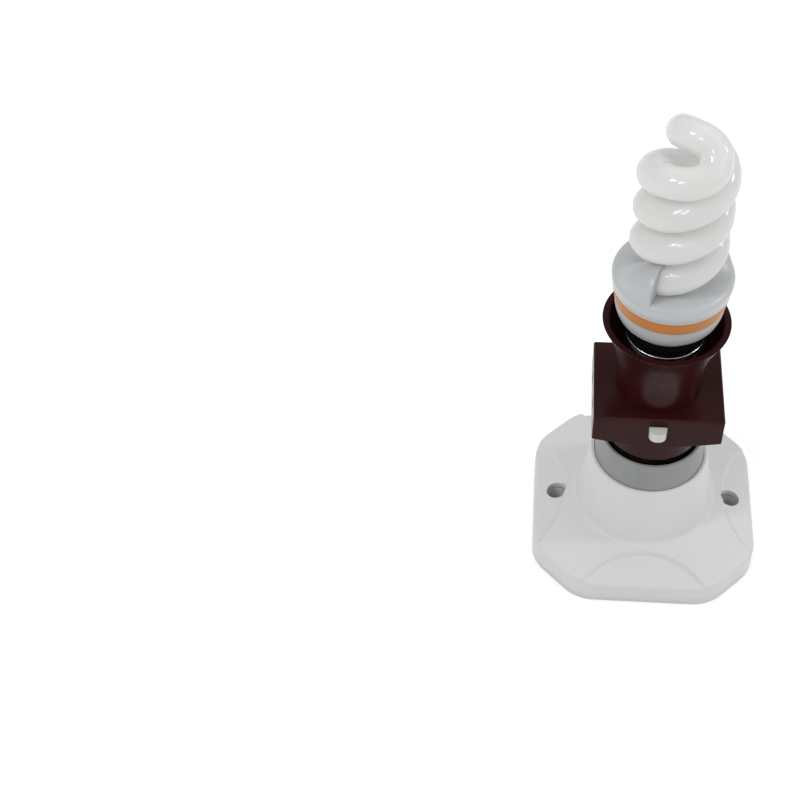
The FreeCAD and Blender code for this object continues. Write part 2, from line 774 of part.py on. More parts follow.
def lamp_tube():
    """One tube: up strand A, over the bridge and down strand B."""
    low_end = -coil_sweep_deg - tube_sink_deg
    rising = strand_line(low_end, front_end_deg)
    falling = [V(2 * coil_x - p.x, -p.y, p.z) for p in strand_line(low_end, back_end_deg)]
    return swept(rising + crown_line() + falling[::-1], tube_r)


def tube_sleeve():
    """Raised sleeve in line with the tube's end, sinking into the cover."""
    points = []
    count = 8
    for i in range(count + 1):
        share = i / count
        points.append(coil_point(-coil_sweep_deg - share * sleeve_deg, sleeve_drop * share ** 1.5))
    return swept(points, sleeve_r)


def tube_pocket():
    """Room for the tube's end in its sleeve and over the cover's top."""
    first = -coil_sweep_deg - tube_sink_deg - 1
    return swept(strand_line(first, first + 108, 12.0), tube_r + fit_gap)


def main():
    nodes = {
        "base_cover": base_cover(),
        "socket_barrel": socket_barrel(),
        "base_screw_shell": base_screw_shell(),
        "base_side_strap": base_side_strap(),
        "base_centre_contact": base_centre_contact(),
        "base_live_terminal": base_terminal(-1),
        "base_neutral_terminal": base_terminal(1),
        "base_terminal_screws": terminal_screws(),
        "barrel_screws": barrel_screws(),
        "adapter_body": adapter_body(),
        "adapter_cup": adapter_cup(),
        "adapter_screw_cap": screw_cap(lower_cap_top),
        "adapter_cap_insulator": cap_insulator(lower_cap_top),
        "adapter_tip_contact": tip_contact(lower_cap_top),
        "adapter_socket_shell": adapter_socket_shell(),
        "adapter_centre_contact": adapter_centre_contact(),
        "live_bus": bus(1),
        "neutral_bus": bus(-1),
        "switch_contact_left": switch_contact(-1),
        "switch_contact_right": switch_contact(1),
        "switch_bar": switch_bar(),
        "switch_bridge": switch_bridge(),
        "adapter_screws": adapter_screws(),
        "lamp_shell": lamp_shell(),
        "lamp_trim_ring": lamp_trim_ring(),
        "lamp_cover": lamp_cover(),
        "lamp_tube": lamp_tube(),
        "lamp_screw_cap": screw_cap(cap_top_z),
        "lamp_cap_insulator": cap_insulator(cap_top_z),
        "lamp_tip_contact": tip_contact(cap_top_z),
    }
    os.makedirs("parts", exist_ok=True)
    for name, shape in nodes.items():
        solids = len(shape.Solids)
        print(name, "solids", solids, "valid", shape.isValid(), "volume", round(shape.Volume, 1),
              "faces", len(shape.Faces))
        shape.exportStep("parts/" + name + ".step")


main()
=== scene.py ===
"""Looks of the square lamp holder with its outlet adapter and spiral lamp.

Millimetres until a mesh is made, Z up, the front with the switch button towards -Y.
"""
import json
import math
import bmesh
import bpy
import numpy as np
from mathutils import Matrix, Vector


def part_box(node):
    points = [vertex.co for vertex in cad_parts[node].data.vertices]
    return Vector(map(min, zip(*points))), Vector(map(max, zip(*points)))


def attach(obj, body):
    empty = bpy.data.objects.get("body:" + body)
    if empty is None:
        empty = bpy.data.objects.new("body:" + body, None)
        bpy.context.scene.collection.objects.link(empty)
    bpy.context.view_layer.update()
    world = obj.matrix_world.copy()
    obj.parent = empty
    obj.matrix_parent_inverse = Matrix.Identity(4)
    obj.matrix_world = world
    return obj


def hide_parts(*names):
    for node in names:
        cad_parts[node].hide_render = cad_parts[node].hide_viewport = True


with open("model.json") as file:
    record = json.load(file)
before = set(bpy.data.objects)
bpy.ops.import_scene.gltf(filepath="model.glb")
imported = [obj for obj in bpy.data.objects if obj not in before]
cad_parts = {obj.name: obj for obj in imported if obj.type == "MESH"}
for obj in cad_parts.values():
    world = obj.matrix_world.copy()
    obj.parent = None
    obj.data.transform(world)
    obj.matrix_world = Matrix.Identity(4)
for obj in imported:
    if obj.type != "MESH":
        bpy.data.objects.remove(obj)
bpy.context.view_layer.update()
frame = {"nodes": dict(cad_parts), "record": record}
nodes = frame["nodes"]
scene = bpy.context.scene
MM = 0.001
TAU = 2 * math.pi
X, Y, Z = 0, 1, 2


def span(node, axis):
    """Where a CAD node starts and ends along an axis, in millimetres."""
    low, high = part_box(node)
    return round(low[axis] / MM, 3), round(high[axis] / MM, 3)


# Materials

WHITE = (0.68, 0.68, 0.68)
GREY = (0.27, 0.275, 0.275)
# Painted shade for the socket's mouth, and the radius inside which it is painted
MOUTH_PAINTED_SHADE = (0.008, 0.006, 0.006)
BROWN = (0.029, 0.0047, 0.0050)
BUTTON_WHITE = (0.58, 0.59, 0.565)
LAMP_WHITE = (0.50, 0.517, 0.527)
# Lamp white darkened: painted shade for the downward-facing bowl under the band
BOWL_PAINTED_SHADE = (0.36, 0.37, 0.38)
ORANGE = (0.49, 0.165, 0.012)
BLACK_GLASS = (0.010, 0.009, 0.010)
MOUTH_R = 18.4


def shader(name):
    mat = bpy.data.materials.new(name)
    mat.use_nodes = True
    tree = mat.node_tree
    return mat, tree, tree.nodes["Principled BSDF"]


def noise(tree, scale, detail=3.0, rough=0.5, stretch=None):
    """Cloudy pattern fixed to the object, stretched along an axis where asked."""
    coord = tree.nodes.new("ShaderNodeTexCoord")
    node = tree.nodes.new("ShaderNodeTexNoise")
    node.inputs["Scale"].default_value = scale
    node.inputs["Detail"].default_value = detail
    node.inputs["Roughness"].default_value = rough
    out = coord.outputs["Object"]
    if stretch:
        mapping = tree.nodes.new("ShaderNodeMapping")
        mapping.inputs["Scale"].default_value = stretch
        tree.links.new(out, mapping.inputs["Vector"])
        out = mapping.outputs["Vector"]
    tree.links.new(out, node.inputs["Vector"])
    return node.outputs["Fac"]


def ramp(tree, value, low, high, to_low, to_high):
    """The value from low to high, spread over to_low to to_high."""
    node = tree.nodes.new("ShaderNodeMapRange")
    tree.links.new(value, node.inputs["Value"])
    node.inputs["From Min"].default_value = low
    node.inputs["From Max"].default_value = high
    node.inputs["To Min"].default_value = to_low
    node.inputs["To Max"].default_value = to_high
    return node.outputs["Result"]


def colours(tree, value, stops):
    """Colour ramp with (position, colour) stops."""
    node = tree.nodes.new("ShaderNodeValToRGB")
    first, last = node.color_ramp.elements
    first.position, first.color = stops[0][0], (*stops[0][1], 1)
    last.position, last.color = stops[-1][0], (*stops[-1][1], 1)
    for place, col in stops[1:-1]:
        node.color_ramp.elements.new(place).color = (*col, 1)
    tree.links.new(value, node.inputs["Fac"])
    return node.outputs["Color"]


def bumps(tree, bsdf, layers):
    """Bump layers of (height, strength, distance), each on top of the one before."""
    normal = None
    for height, strength, distance in layers:
        node = tree.nodes.new("ShaderNodeBump")
        node.inputs["Strength"].default_value = strength
        node.inputs["Distance"].default_value = distance
        tree.links.new(height, node.inputs["Height"])
        if normal:
            tree.links.new(normal, node.inputs["Normal"])
        normal = node.outputs["Normal"]
    tree.links.new(normal, bsdf.inputs["Normal"])


def shade(col, share):
    return tuple(min(c * share, 1.0) for c in col)


def plastic(name, col, rough, spread, ripple=0.12, grain=0.05, dust=0.0, shine=0.5):
    """Moulded plastic: faint flow marks in colour and gloss, and a soft orange-peel surface."""
    mat, tree, bsdf = shader(name)
    flow = noise(tree, 55, 4, 0.55, (1, 1, 0.45))
    stops = [(0.3, shade(col, 1 - spread)), (0.5, col), (0.72, shade(col, 1 + spread))]
    tree.links.new(colours(tree, flow, stops), bsdf.inputs["Base Color"])
    smear = noise(tree, 70, 2)
    gloss = ramp(tree, smear, 0.2, 0.8, rough * 0.9, rough * 1.15 + dust)
    tree.links.new(gloss, bsdf.inputs["Roughness"])
    bsdf.inputs["IOR"].default_value = 1.5
    bsdf.inputs["Specular IOR Level"].default_value = shine
    bumps(tree, bsdf, [(noise(tree, 260, 2), ripple, 0.0002), (noise(tree, 2600, 2), grain, 0.00003)])
    return mat


def metal(name, col, rough, brushed, tarnish, wear=None):
    """Rolled or drawn metal: fine drawing lines, with duller and browner patches."""
    mat, tree, bsdf = shader(name)
    bsdf.inputs["Metallic"].default_value = 1.0
    patches = noise(tree, 90, 6, 0.65)
    stops = [(0.35, shade(col, 1 - tarnish)), (0.55, col), (0.75, shade(col, 1.06))]
    if wear:
        stops.insert(0, (0.2, wear))
    tree.links.new(colours(tree, patches, stops), bsdf.inputs["Base Color"])
    lines = noise(tree, 420, 3, 0.6, brushed)
    tree.links.new(ramp(tree, lines, 0.3, 0.7, rough * 0.75, rough * 1.35), bsdf.inputs["Roughness"])
    bumps(tree, bsdf, [(lines, 0.12, 0.00005)])
    return mat


def grey_with_painted_mouth_shade(name):
    """Grey plastic outside, near-black inside the mouth's radius round the upright axis: painted shade for
    the deep recess under the adapter's boss.
    """
    mat = plastic(name, GREY, 0.36, 0.09, ripple=0.16, dust=0.1, shine=0.35)
    tree = mat.node_tree
    bsdf = tree.nodes["Principled BSDF"]
    grey = bsdf.inputs["Base Color"].links[0].from_socket
    coord = tree.nodes.new("ShaderNodeTexCoord")
    flat = tree.nodes.new("ShaderNodeVectorMath")
    flat.operation = "MULTIPLY"
    flat.inputs[1].default_value = (1, 1, 0)
    tree.links.new(coord.outputs["Object"], flat.inputs[0])
    radius = tree.nodes.new("ShaderNodeVectorMath")
    radius.operation = "LENGTH"
    tree.links.new(flat.outputs["Vector"], radius.inputs[0])
    # Painted shade: the grey goes near-black inside the mouth's radius
    edge = ramp(tree, radius.outputs["Value"], MOUTH_R * MM, (MOUTH_R + 0.15) * MM, 0, 1)
    mix = tree.nodes.new("ShaderNodeMix")
    mix.data_type = "RGBA"
    tree.links.new(edge, mix.inputs["Factor"])
    mix.inputs["A"].default_value = (*MOUTH_PAINTED_SHADE, 1)
    tree.links.new(grey, mix.inputs["B"])
    tree.links.new(mix.outputs["Result"], bsdf.inputs["Base Color"])
    return mat


def milky_glass(name):
    """Glass tube with a white powder coat inside: light passes on through it, very smooth surface."""
    mat, tree, bsdf = shader(name)
    powder = noise(tree, 120, 5, 0.6)
    tint = colours(tree, powder, [(0.3, (0.82, 0.82, 0.815)), (0.7, (0.86, 0.86, 0.855))])
    tree.links.new(tint, bsdf.inputs["Base Color"])
    tree.links.new(ramp(tree, noise(tree, 60, 3), 0.3, 0.7, 0.10, 0.17), bsdf.inputs["Roughness"])
    bsdf.inputs["IOR"].default_value = 1.5
    bsdf.inputs["Specular IOR Level"].default_value = 0.15
    bsdf.inputs["Coat Weight"].default_value = 1.0
    bsdf.inputs["Coat Roughness"].default_value = 0.02
    bsdf.inputs["Subsurface Weight"].default_value = 0.8
    bsdf.inputs["Subsurface Radius"].default_value = (1.0, 1.0, 0.97)
    bsdf.inputs["Subsurface Scale"].default_value = 0.005
    bumps(tree, bsdf, [(noise(tree, 70, 1), 0.012, 0.0004)])
    through = tree.nodes.new("ShaderNodeBsdfTranslucent")
    through.inputs["Color"].default_value = (0.97, 0.97, 0.96, 1)
    blend = tree.nodes.new("ShaderNodeMixShader")
    blend.inputs[0].default_value = 0.4
    tree.links.new(bsdf.outputs[0], blend.inputs[1])
    tree.links.new(through.outputs[0], blend.inputs[2])
    tree.links.new(blend.outputs[0], tree.nodes["Material Output"].inputs["Surface"])
    return mat


mats = {
    "white_shell": plastic("white_moulding", WHITE, 0.36, 0.008, ripple=0.02, grain=0.03, shine=0.2),
    "grey_moulding": grey_with_painted_mouth_shade("grey_moulding"),
    "brown_moulding": plastic("brown_moulding", BROWN, 0.20, 0.16, ripple=0.05, dust=0.02, shine=0.10),
    "button_white": plastic("button_moulding", BUTTON_WHITE, 0.30, 0.03),
    "lamp_white": plastic("lamp_moulding", LAMP_WHITE, 0.30, 0.02),
    "orange_band": plastic("band_moulding", ORANGE, 0.36, 0.06, shine=0.3),
    "milky_tube": milky_glass("tube_glass"),
    "cap_metal": metal("cap_metal", (0.72, 0.72, 0.71), 0.26, (1, 1, 8), 0.12),
    "cap_glass": plastic("cap_glass", BLACK_GLASS, 0.22, 0.2, shine=0.3),
    "tip_metal": metal("tip_metal", (0.60, 0.60, 0.58), 0.38, (4, 4, 4), 0.3),
    "socket_brass": metal("socket_brass", (0.52, 0.37, 0.17), 0.34, (1, 1, 10), 0.25, (0.30, 0.18, 0.08)),
    "contact_bronze": metal("contact_bronze", (0.66, 0.42, 0.20), 0.34, (10, 1, 1), 0.3),
    "terminal_brass": metal("terminal_brass", (0.74, 0.55, 0.27), 0.36, (1, 8, 1), 0.3),
    "screw_steel": metal("screw_steel", (0.56, 0.56, 0.55), 0.34, (6, 6, 6), 0.25),
}


def give(obj, slot):
    obj.data.materials.clear()
    obj.data.materials.append(mats[slot])


for part in frame["record"]["subparts"]:
    give(nodes[part["node"]], part["material_slot"])


# Mesh building

def finished(mesh, name, body, slot, replaces=(), sharp=40):
    """Names, shades and seats a new piece. Edges sharper than the given degrees stay crisp."""
    mesh.validate()
    mesh.shade_smooth()
    mesh.set_sharp_from_angle(angle=math.radians(sharp))
    obj = bpy.data.objects.new(name, mesh)
    scene.collection.objects.link(obj)
    give(obj, slot)
    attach(obj, body)
    if replaces:
        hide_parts(*replaces)
    return obj


def grid_data(points, wrap_rows=False, capped=False):
    """Points and faces of closed rings, with caps or the last ring joined to the first."""
    rows, cols = points.shape[:2]
    i = np.arange(rows if wrap_rows else rows - 1)
    i, j = np.meshgrid(i, np.arange(cols), indexing="ij")
    i2, j2 = (i + 1) % rows, (j + 1) % cols
    quads = np.stack([i * cols + j, i * cols + j2, i2 * cols + j2, i2 * cols + j], -1)
    faces = quads.reshape(-1, 4).tolist()
    if capped:
        faces.append(list(range(cols))[::-1])
        faces.append([(rows - 1) * cols + k for k in range(cols)])
    return points.reshape(-1, 3), faces


def add_to(bm, points, faces):
    verts = [bm.verts.new(Vector(p) * MM) for p in points]
    for face in faces:
        bm.faces.new([verts[k] for k in face])


def mesh_from(name, bm):
    """Turns the faces outwards and makes the mesh."""
    bmesh.ops.recalc_face_normals(bm, faces=bm.faces)
    mesh = bpy.data.meshes.new(name)
    bm.to_mesh(mesh)
    bm.free()
    return mesh


def mesh_of(name, part):
    """Mesh of a (points, faces) pair, with doubled points merged."""
    bm = bmesh.new()
    add_to(bm, *part)
    bmesh.ops.remove_doubles(bm, verts=bm.verts, dist=2e-6)
    bmesh.ops.dissolve_degenerate(bm, edges=bm.edges, dist=1e-6)
    return mesh_from(name, bm)


def rounded(profile, steps=5):
    """Polyline of (r, z) or (r, z, rounding) points, with an arc at each rounded corner."""
    out = []
    for k, point in enumerate(profile):
        corner = np.array(point[:2], float)
        if len(point) < 3 or k in (0, len(profile) - 1):
            out.append(corner)
            continue
        back = np.array(profile[k - 1][:2], float) - corner
        on = np.array(profile[k + 1][:2], float) - corner
        back_len, on_len = np.linalg.norm(back), np.linalg.norm(on)
        back, on = back / back_len, on / on_len
        half = math.acos(max(-1, min(1, float(back @ on)))) / 2
        cut = min(point[2] / math.tan(half), back_len * 0.48, on_len * 0.48)
        radius = cut * math.tan(half)
        centre = corner + (back + on) / np.linalg.norm(back + on) * radius / math.sin(half)
        start, end = corner + back * cut - centre, corner + on * cut - centre
        swing = math.pi - 2 * half
        for t in np.linspace(0, 1, steps + 1):
            arm = (math.sin((1 - t) * swing) * start + math.sin(t * swing) * end) / math.sin(swing)
            out.append(centre + arm)
    return np.array(out)


def lathe(profile, segs, centre=(0.0, 0.0), closed=True):
    """Profile turned round an upright axis, its end joined to its start where closed."""
    prof = rounded(profile)
    ang = np.arange(segs) * TAU / segs
    pts = np.empty((len(prof), segs, 3))
    pts[:, :, 0] = centre[0] + prof[:, 0, None] * np.cos(ang)
    pts[:, :, 1] = centre[1] + prof[:, 0, None] * np.sin(ang)
    pts[:, :, 2] = prof[:, 1, None]
    return grid_data(pts, wrap_rows=closed)


def cut_away(mesh, cutters):
    """The mesh with the cutters taken away."""
    base = bpy.data.objects.new("cut_base", mesh)
    scene.collection.objects.link(base)
    helpers = [base]
    for cutter in cutters:
        tool = bpy.data.objects.new("cut_tool", mesh_of("cut_tool", cutter))
        scene.collection.objects.link(tool)
        helpers.append(tool)
        mod = base.modifiers.new("cut", "BOOLEAN")
        mod.operation = "DIFFERENCE"
        mod.solver = "EXACT"
        mod.object = tool
    graph = bpy.context.evaluated_depsgraph_get()
    result = bpy.data.meshes.new_from_object(base.evaluated_get(graph))
    for obj in helpers:
        bpy.data.objects.remove(obj)
    return result


def sweep(path, radius, sides):
    """Round bar along a line of points, with a frame that doesn't twist."""
    tangent = np.gradient(path, axis=0)
    tangent /= np.linalg.norm(tangent, axis=1)[:, None]
    side = np.cross(tangent[0], [0, 0, 1.0])
    ang = np.arange(sides) * TAU / sides
    pts = np.empty((len(path), sides, 3))
    for k, place in enumerate(path):
        side = side - tangent[k] * (side @ tangent[k])
        side /= np.linalg.norm(side)
        up = np.cross(tangent[k], side)
        pts[k] = place + radius * (np.cos(ang)[:, None] * side + np.sin(ang)[:, None] * up)
    return grid_data(pts, capped=True)


def smooth_step(t):
    t = np.clip(t, 0, 1)
    return t * t * (3 - 2 * t)


def smooth_line(points, per=9):
    """Cubic spline through the points, spaced by their distances."""
    n = len(points)
    step = np.linalg.norm(np.diff(points, axis=0), axis=1)
    lhs, rhs = np.eye(n), np.zeros((n, 3))
    for i in range(1, n - 1):
        lhs[i, i - 1:i + 2] = step[i - 1], 2 * (step[i - 1] + step[i]), step[i]
        rhs[i] = 6 * ((points[i + 1] - points[i]) / step[i] - (points[i] - points[i - 1]) / step[i - 1])
    bend = np.linalg.solve(lhs, rhs)
    out = []
    for i, h in enumerate(step):
        low, high = points[i] / h - bend[i] * h / 6, points[i + 1] / h - bend[i + 1] * h / 6
        for u in h * np.arange(per) / per:
            v = h - u
            out.append((bend[i] * v ** 3 + bend[i + 1] * u ** 3) / (6 * h) + low * v + high * u)
    return np.array(out + [points[-1]])


def smooth_profile(profile, per):
    """Spline through (r, z) points."""
    line = smooth_line(np.array([(r, 0, z) for r, z in profile]), per)
    return [(r, z) for r, _, z in line]


# Base cover

PLATE_HALF, COLLAR_Z = span("base_cover", X)[1], span("base_cover", Z)[1]
CORNER_CUT, CORNER_ROUND, EDGE_ROUND, FOOT_ROUND = 17.5, 16.0, 1.9, 0.35
EDGE_Z, TOP_Z, WALL = 12.2, 15.9, 2.2
DOME_FOOT_R, COLLAR_R, COLLAR_LIP, COLLAR_DEPTH = 26.9, 21.0, 1.3, 3.0
CORNER_REACH = PLATE_HALF * math.sqrt(2) - CORNER_CUT / math.sqrt(2)
PLATE_SLOPE = (TOP_Z - EDGE_Z) / (CORNER_REACH - DOME_FOOT_R)
# Each land: its direction in degrees, the radius of its curved inner edge, and where that edge starts
LANDS = [(0, 39.0, 31.0), (90, 28.0, 27.5), (180, 39.0, 31.0), (270, 28.0, 29.6)]
LAND_HIGH_Z, LAND_LOW_Z, LAND_LENGTH, STEP_W = 13.4, 10.2, 15.5, 1.1
LAND_SLOPE = (LAND_HIGH_Z - LAND_LOW_Z) / LAND_LENGTH
HOLE_X, HEAD_R, HOLE_R, SEAT_Z, POST_R, POST_Z = 34.3, 3.8, 2.3, 3.6, 5.6, 9.2


def inside_outline(x, y, inset):
    """Distance inside the plate's rounded outline."""
    ax, ay = np.maximum(np.abs(x), np.abs(y)), np.minimum(np.abs(x), np.abs(y))
    side = PLATE_HALF - CORNER_ROUND
    diag = (2 * PLATE_HALF - CORNER_CUT) / math.sqrt(2) - CORNER_ROUND
    corner_y = diag * math.sqrt(2) - side
    from_side = ax - side
    from_diag = (ax + ay) / math.sqrt(2) - diag
    past = ay - corner_y
    round_or_diag = np.where(past < from_side, np.hypot(from_side, past), from_diag)
    dist = np.where(past <= 0, from_side, round_or_diag)
    return CORNER_ROUND - dist - inset


def reach(angles, inset=0.0):
    """Radius of the plate's outline in each direction."""
    low, high = np.full(len(angles), PLATE_HALF / 2), np.full(len(angles), PLATE_HALF * 2)
    for _ in range(40):
        mid = (low + high) / 2
        inside = inside_outline(mid * np.cos(angles), mid * np.sin(angles), inset) > 0
        low, high = np.where(inside, mid, low), np.where(inside, high, mid)
    return (low + high) / 2


def land_places(x, y):
    """For each land, how far out the points lie from its inner edge's middle, and how far inside the edge."""
    for turn, radius, start in LANDS:
        c, s = math.cos(math.radians(turn)), math.sin(math.radians(turn))
        out = x * c + y * s - start
        yield out, radius - np.hypot(out - radius, -x * s + y * c)


def plate_height(x, y):
    """Top of the plate: a shallow cone with the lands sunk into it."""
    cone = TOP_Z - PLATE_SLOPE * (np.hypot(x, y) - DOME_FOOT_R)
    height = cone.copy()
    for out, within in land_places(x, y):
        land = LAND_HIGH_Z - LAND_SLOPE * out
        height += (np.minimum(land, cone) - cone) * smooth_step((within + 0.15) / STEP_W)
    return height


def land_start(angles, near, far):
    """Radius where each direction first meets a land, or the far radius."""
    share = np.linspace(0, 1, 600)[:, None]
    r = near + (far - near) * share
    inside = np.zeros(r.shape, bool)
    for _, within in land_places(r * np.cos(angles), r * np.sin(angles)):
        inside |= within > 0
    first = np.where(inside.any(axis=0), inside.argmax(axis=0), len(share) - 1)
    return r[first, np.arange(len(angles))]


def cover_shell():
    """Rings from the collar's inside over the dome and plate, round the edge and back underneath."""
    cols = 576
    ang = (np.arange(cols) + 0.5) * TAU / cols
    cos, sin = np.cos(ang), np.sin(ang)
    edge = reach(ang)
    rows = []

    def ring(r, z):
        r, z = np.broadcast_to(r, cols), np.broadcast_to(z, cols)
        rows.append(np.stack([r * cos, r * sin, z], -1))

    past_foot = 4.0
    dome = rounded([(COLLAR_R, COLLAR_Z - COLLAR_DEPTH), (COLLAR_R, COLLAR_Z, 0.12),
                    (COLLAR_R + COLLAR_LIP, COLLAR_Z, 0.6), (DOME_FOOT_R, TOP_Z, 3.0),
                    (DOME_FOOT_R + past_foot, TOP_Z - PLATE_SLOPE * past_foot)], 6)
    for r, z in dome[:-1]:
        ring(r, z)
    start, last = dome[-2][0], edge - EDGE_ROUND
    step = np.minimum(land_start(ang, start, last), last)
    before = np.maximum(step - 0.4, start)
    after = np.minimum(step + STEP_W + 0.2, last)
    for a, b, count in ((start, before, 34), (before, after, 12), (after, last, 24)):
        for t in np.linspace(0, 1, count)[1:]:
            r = a + (b - a) * t
            ring(r, plate_height(r * cos, r * sin))
    brink = plate_height(last * cos, last * sin)
    for a in np.linspace(0, math.pi / 2, 8)[1:]:
        ring(edge - EDGE_ROUND * (1 - math.sin(a)), brink - EDGE_ROUND * (1 - math.cos(a)))
    ring(edge, 5.0)
    ring(edge, FOOT_ROUND)
    ring(edge - FOOT_ROUND, 0.0)
    inner = reach(ang, WALL)
    ring(inner + 0.3, 0.0)
    ring(inner, 0.3)
    for t in (0.0, 0.25, 0.5, 0.75, 1.0):
        r = inner + (DOME_FOOT_R - WALL - inner) * t
        ring(r, plate_height((r + 0.4) * cos, (r + 0.4) * sin) - WALL - 0.2)
    return mesh_of("cover_shell", grid_data(np.array(rows), wrap_rows=True))


def base_cover():
    hole = [(0, 6), (HEAD_R, 6), (HEAD_R, 20), (0, 20)]
    holes = [lathe(hole, 72, (s * HOLE_X, 0), closed=False) for s in (-1, 1)]
    post = [(HOLE_R, 0.0, 0.2), (POST_R, 0.0, 0.3), (POST_R, POST_Z), (HEAD_R, POST_Z),
            (HEAD_R, SEAT_Z), (HOLE_R, SEAT_Z, 0.2)]
    bm = bmesh.new()
    bm.from_mesh(cut_away(cover_shell(), holes))
    bmesh.ops.remove_doubles(bm, verts=bm.verts, dist=1e-5)
    for s in (-1, 1):
        add_to(bm, *lathe(post, 72, (s * HOLE_X, 0)))
    finished(mesh_from("base_moulding", bm), "base_moulding", "base", "white_shell", ["base_cover"], 50)


base_cover()


# Screw threads

PITCH, THREAD_DEPTH, THREAD_RUN = 3.63, 0.8, 1.6
CAP_R, CAP_LENGTH, LAMP_FLANGE_R = span("adapter_screw_cap", X)[1], 17.0, 14.2
LOWER_TOP, UPPER_TOP = span("adapter_screw_cap", Z)[1], span("lamp_screw_cap", Z)[1]
LOWER_SHELL, UPPER_SHELL = span("base_screw_shell", Z), span("adapter_socket_shell", Z)
SHELL_GAP, SHELL_WALL, SHELL_FOOT, SHELL_UNDER_LIP = 0.12, 0.36, 0.9, 2.6
TURN = np.arange(120) * TAU / 120


def thread_rows(z0, z1, radius, phase):
    """Rings of a right-handed rolled thread that fades out at both ends."""
    z = np.linspace(z0, z1, int((z1 - z0) / 0.22) + 1)
    z, ang = np.meshgrid(z, TURN, indexing="ij")
    wave = (0.5 - 0.5 * np.cos(TAU * ((z - phase) / PITCH - ang / TAU))) ** 0.85
    fade = smooth_step((z - z0) / THREAD_RUN) * smooth_step((z1 - z) / THREAD_RUN)
    r = radius - THREAD_DEPTH * wave * fade
    return np.stack([r * np.cos(ang), r * np.sin(ang), z], -1)


def ring_rows(profile):
    return np.array([np.stack([r * np.cos(TURN), r * np.sin(TURN), np.full(len(TURN), z)], -1)
                     for r, z in profile])


def screw_cap(name, top, body, node, flange_r=CAP_R + 0.02):
    """Threaded metal cap, from its rolled foot up to its flange."""
    bottom = top - CAP_LENGTH
    foot = rounded([(CAP_R, bottom + 0.9), (CAP_R, bottom, 0.5), (CAP_R - 1.2, bottom - 0.6),
                    (CAP_R - 1.7, bottom - 0.4)], 4)
    flange = rounded([(CAP_R - THREAD_DEPTH, top), (CAP_R, top), (flange_r, top, 0.55),
                      (flange_r, top - 1.2, 0.5), (CAP_R, top - 1.4)], 6)
    thread = thread_rows(bottom + 0.9, top - 1.3, CAP_R, top)
    rows = np.concatenate([ring_rows(foot[:0:-1]), thread, ring_rows(flange[::-1])])
    finished(mesh_of(name, grid_data(rows)), name, body, "cap_metal", [node], 60)


def socket_shell(name, bottom, top, body, node, phase):
    """Threaded brass shell round a cap, turned in at its foot."""
    inner = CAP_R + SHELL_GAP
    outer, foot = inner + SHELL_WALL, CAP_R - SHELL_FOOT
    thread = thread_rows(bottom + 0.5, top - 0.3, inner, phase)
    back = ring_rows([(inner, top), (outer, top), (outer, bottom), (foot, bottom), (foot, bottom + 0.4),
                      (inner, bottom + 0.5)])
    rows = np.concatenate([thread, back])
    finished(mesh_of(name, grid_data(rows, wrap_rows=True)), name, body, "socket_brass", [node], 60)


screw_cap("adapter_cap_thread", LOWER_TOP, "adapter", "adapter_screw_cap")
screw_cap("lamp_cap_thread", UPPER_TOP, "lamp", "lamp_screw_cap", LAMP_FLANGE_R)
socket_shell("base_shell_thread", *LOWER_SHELL, "base", "base_screw_shell", LOWER_TOP)
socket_shell("adapter_shell_thread", UPPER_SHELL[0], UPPER_SHELL[1] - SHELL_UNDER_LIP, "adapter",
             "adapter_socket_shell", UPPER_TOP)


# Lamp tube

TUBE_R, COIL_R, COIL_PITCH, COIL_X, COIL_TOP = 5.4, 11.3, 28.6, 0.5, 188.0
# Degrees counted from the coil's top: down to the cover, the stretch sunk into it, and where the front
# and back coils leave for the crown
COIL_SWEEP, SINK, FRONT_END, BACK_END = 567.0, 8.0, -42.0, -30.0
# Crossing at the top: across and along in coil radii, and up from the coil's top
CROWN = [(0.0, -1.0, -1.5), (0.57, -0.8, 1.4), (0.58, -0.32, 5.9), (-0.15, 0.24, 7.1), (-0.16, 0.83, 2.5)]


def coil_line(deg):
    a = np.radians(deg)
    return np.stack([COIL_X + COIL_R * np.sin(a), -COIL_R * np.cos(a),
                     COIL_TOP + COIL_PITCH * deg / 360.0], -1)


def lamp_tube():
    """One bent tube: up one coil, over the crown and down the other coil, half a turn round."""
    low_end, spacing = -COIL_SWEEP - SINK, 27
    rising, falling = [coil_line(np.linspace(low_end, end, int(round((end - low_end) / spacing)) + 1))
                       for end in (FRONT_END, BACK_END)]
    falling = falling[::-1] * [-1, -1, 1] + [2 * COIL_X, 0, 0]
    crown = np.array([(COIL_X + COIL_R * a, COIL_R * b, COIL_TOP + rise) for a, b, rise in CROWN])
    line = smooth_line(np.concatenate([rising, crown, falling]))
    mesh = mesh_of("spiral_tube", sweep(line, TUBE_R, 48))
    finished(mesh, "spiral_tube", "lamp", "milky_tube", ["lamp_tube"], 60)


# Lamp housing

COVER_R = span("lamp_cover", X)[1]
COVER_Z, FLAT_R, FLAT_Z, COVER_TOP = 136.4, 18.7, 138.5, 138.9
SLEEVE_R, SLEEVE_DEG, SLEEVE_DROP, SLEEVE_BLEND, SLEEVE_STRETCH = 6.7, 80.0, 9.0, 3.4, 0.72
SHOULDER, PLAIN_RIM = 1.2, 1.2
NO_SLEEVE = -1000.0
RING_LOW_Z, RING_TOP_Z = span("lamp_trim_ring", Z)
RING_LOW_R, RING_TOP_R, LIP_R, LIP_H = 19.3, 20.3, 17.9, 2.6
# Bowl under the ring: its side as shares of the way from the neck's radius and height to the ring's
BOWL_SIDE = [(0, 0), (0.19, 0.15), (0.58, 0.31), (0.85, 0.55), (0.96, 0.79), (1, 1)]
BOWL_R = span("lamp_shell", X)[1]
# The last value is the outer radius of the black sleeve put over the neck as painted shade
NECK_TOP_R, NECK_TOP_Z, NECK_Z, NECK_SHADE_SLEEVE_R = 14.0, 114.5, 108.6, 14.08
PLUG_R, PLUG_Z = 12.7, 99.0


